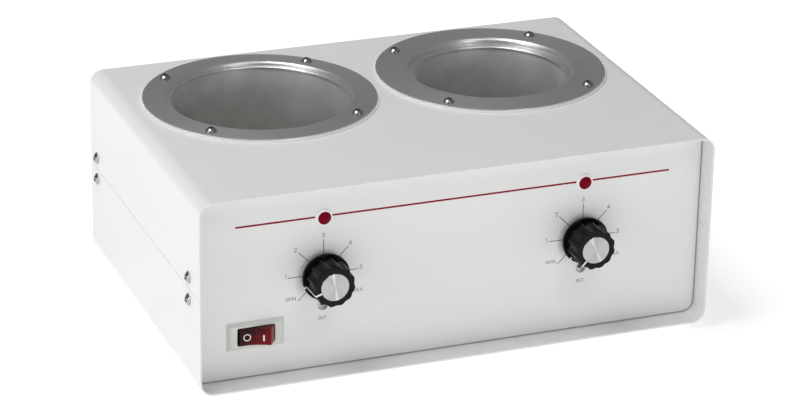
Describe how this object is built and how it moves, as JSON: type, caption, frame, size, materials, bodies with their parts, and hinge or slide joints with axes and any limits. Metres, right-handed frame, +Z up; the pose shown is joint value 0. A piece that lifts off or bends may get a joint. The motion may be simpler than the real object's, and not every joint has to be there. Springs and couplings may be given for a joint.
{
  "type": "double wax warmer",
  "caption": "Free-standing electric wax warmer: a folded steel case with deep round aluminium pots in its top, thermostat knobs, pilot lamps and a rocker switch.",
  "frame": {"origin": "bottom centre of the whole space the warmer takes up, on the surface its feet stand on", "axes": "+X right along the front seen from the front, +Y from the front panel to the back, +Z up"},
  "size_m": [0.4054, 0.2854, 0.1617],
  "materials": {
    "case_paint": "fine gloss powder paint",
    "panel_paint": "satin powder paint with printed marks",
    "screw_steel": "polished plated steel",
    "nut_steel": "plain plated steel",
    "foot_rubber": "matte black rubber",
    "pot_aluminium": "spun satin aluminium",
    "gasket_rubber": "white silicone rubber",
    "band_steel": "satin steel sheath",
    "terminal_brass": "plain brass",
    "bulb_copper": "drawn copper",
    "black_moulding": "matte black moulding",
    "knob_black": "gloss black moulding with a white pointer line",
    "cap_aluminium": "spun aluminium disc",
    "lamp_red": "translucent dark red moulding",
    "white_moulding": "plain white moulding",
    "bezel_plastic": "off-white moulding",
    "rocker_red": "very dark translucent red moulding with white marks",
    "wire_cover": "wire insulation"
  },
  "bodies": {
    "case": {"top_cover": "case_paint", "bottom_cover": "case_paint", "front_panel": "panel_paint", "rear_panel": "panel_paint", "left_side_screws": "screw_steel", "right_side_screws": "screw_steel", "side_screw_nuts": "nut_steel", "feet": "foot_rubber", "foot_screws": "screw_steel", "foot_nuts": "nut_steel", "left_pot": "pot_aluminium", "right_pot": "pot_aluminium", "left_pot_gasket": "gasket_rubber", "right_pot_gasket": "gasket_rubber", "left_flange_screws": "screw_steel", "right_flange_screws": "screw_steel", "flange_nuts": "nut_steel", "left_heater_band": "band_steel", "right_heater_band": "band_steel", "heater_tabs": "terminal_brass", "band_clamp_screws": "screw_steel", "band_clamp_nuts": "nut_steel", "left_thermal_cutout": "black_moulding", "right_thermal_cutout": "black_moulding", "cutout_nuts": "nut_steel", "left_thermostat": "black_moulding", "right_thermostat": "black_moulding", "thermostat_nuts": "nut_steel", "thermostat_fixing_screws": "screw_steel", "left_sensing_bulb": "bulb_copper", "right_sensing_bulb": "bulb_copper", "bulb_clips": "nut_steel", "left_lamp_lens": "lamp_red", "right_lamp_lens": "lamp_red", "left_lamp_body": "white_moulding", "right_lamp_body": "white_moulding", "lamp_clips": "nut_steel", "switch_housing": "bezel_plastic", "switch_terminals": "terminal_brass", "switch_pivot_pin": "nut_steel", "power_inlet": "black_moulding", "inlet_pins": "nut_steel", "inlet_screws": "screw_steel", "inlet_nuts": "nut_steel", "terminal_block": "white_moulding", "terminal_screws": "screw_steel", "earth_nut": "terminal_brass", "supply_wires": "wire_cover", "switched_wires": "wire_cover", "heater_wires": "wire_cover", "lamp_wires": "wire_cover"},
    "left_knob": {"left_thermostat_shaft": "nut_steel", "left_knob_insert": "terminal_brass", "left_knob": "knob_black", "left_knob_cap": "cap_aluminium"},
    "right_knob": {"right_thermostat_shaft": "nut_steel", "right_knob_insert": "terminal_brass", "right_knob": "knob_black", "right_knob_cap": "cap_aluminium"},
    "rocker": {"switch_rocker": "rocker_red"}
  },
  "joints": [
    {"name": "left_knob_turn", "type": "hinge", "parent": "case", "child": "left_knob", "pos_m": [-0.1007, -0.1168, 0.0815], "axis": [0, 1, 0], "range_deg": [-70, 245]},
    {"name": "right_knob_turn", "type": "hinge", "parent": "case", "child": "right_knob", "pos_m": [0.1033, -0.1168, 0.0815], "axis": [0, 1, 0], "range_deg": [-42, 273]},
    {"name": "power_switch_rocker", "type": "hinge", "parent": "case", "child": "rocker", "pos_m": [-0.1525, -0.1162, 0.0412], "axis": [0, 0, 1], "range_deg": [0, 28]}
  ]
}
